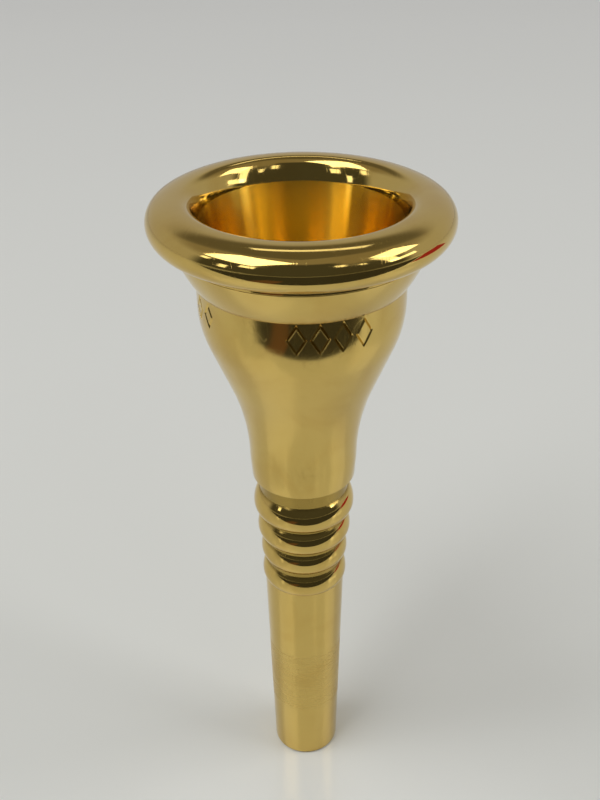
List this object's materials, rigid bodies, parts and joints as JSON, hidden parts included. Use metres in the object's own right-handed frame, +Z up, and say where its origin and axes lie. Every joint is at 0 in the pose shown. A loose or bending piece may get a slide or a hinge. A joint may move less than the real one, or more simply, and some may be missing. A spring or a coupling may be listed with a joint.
{
  "type": "horn mouthpiece",
  "caption": "Gold-plated horn mouthpiece with a rounded screw-on rim, a bell-shaped cup, turned rings on its neck and a tapered shank.",
  "frame": {"origin": "centre of the flat annular face at the end of the shank, on which the mouthpiece stands", "axes": "+Z up the axis towards the rim; -Y is the side that carries the row of stamped marks"},
  "size_m": [0.0254, 0.0254, 0.0633],
  "materials": {
    "rim_plating": "gold plate, mirror polished",
    "body_plating": "gold plate, polished, with a satin worn band on the shank"
  },
  "bodies": {
    "underpart": {"cup_and_shank": "body_plating"},
    "screw_rim": {"rim": "rim_plating"}
  },
  "joints": [
    {"name": "rim_off", "type": "slide", "parent": "underpart", "child": "screw_rim", "axis": [0, 0, 1], "range_m": [0, 0.006]}
  ]
}
